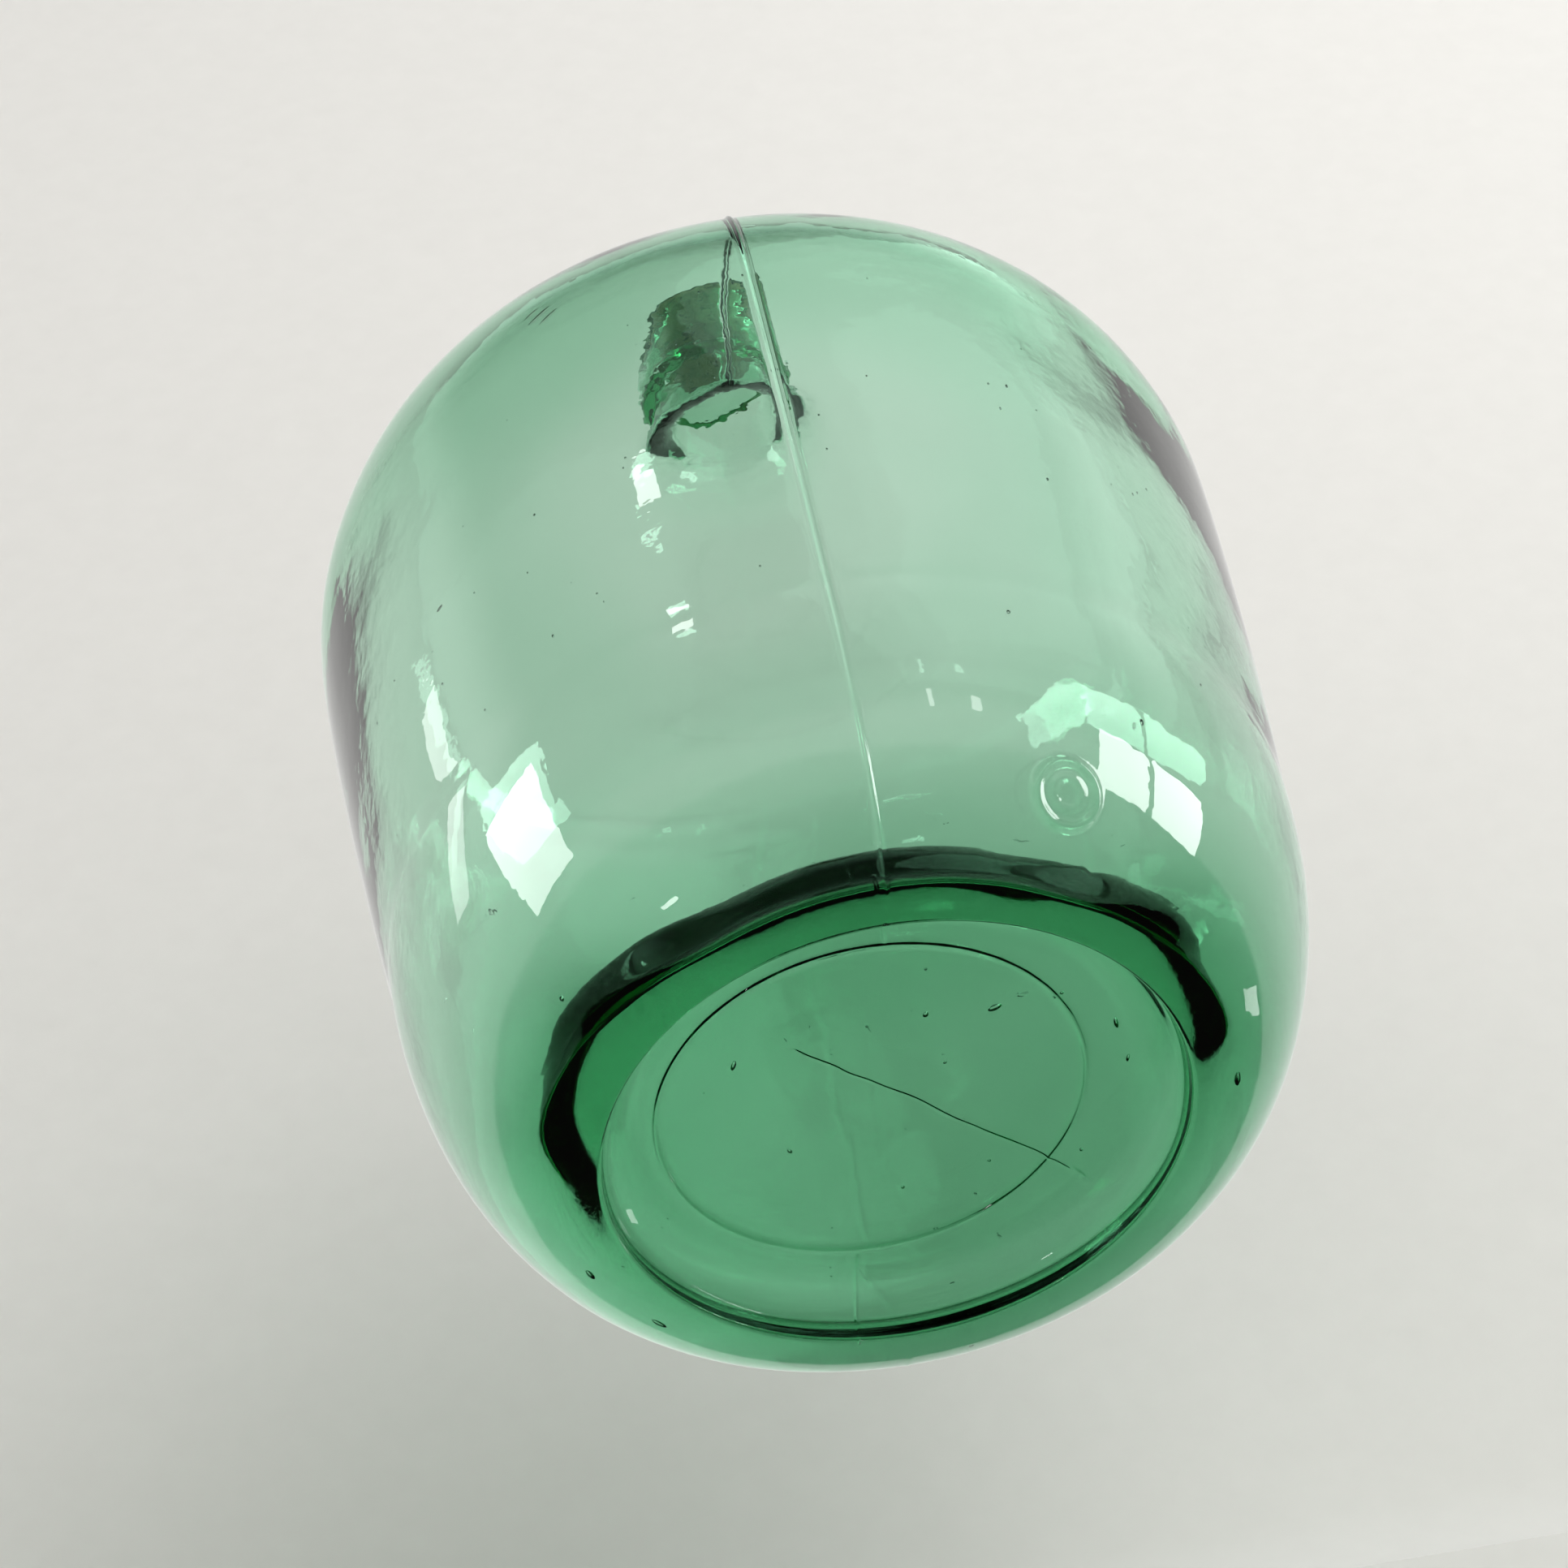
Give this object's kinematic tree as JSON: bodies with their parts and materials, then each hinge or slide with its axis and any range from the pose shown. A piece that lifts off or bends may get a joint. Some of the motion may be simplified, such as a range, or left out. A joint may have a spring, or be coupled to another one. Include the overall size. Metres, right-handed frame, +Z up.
{
  "type": "glass carboy",
  "caption": "Round-shouldered green glass carboy with a slightly narrower foot, a recessed base, a short neck, a thick tooled lip and a push-in cork.",
  "frame": {"origin": "centre of the foot ring, on the plane that the carboy stands on", "axes": "+Z up through the mouth, -Y towards the front mould seam, +X towards the seal's side"},
  "size_m": [0.196, 0.196, 0.282],
  "materials": {
    "green_glass": "glossy, slightly uneven, with seeds and mould seams",
    "cork": "matt natural cork, open pores"
  },
  "bodies": {
    "vessel": {"glass_vessel": "green_glass", "lip_band": "green_glass", "glass_seal": "green_glass"},
    "stopper": {"cork_stopper": "cork"}
  },
  "joints": [
    {"name": "stopper_slide", "type": "slide", "parent": "vessel", "child": "stopper", "axis": [0, 0, 1], "range_m": [0, 0.06]}
  ]
}
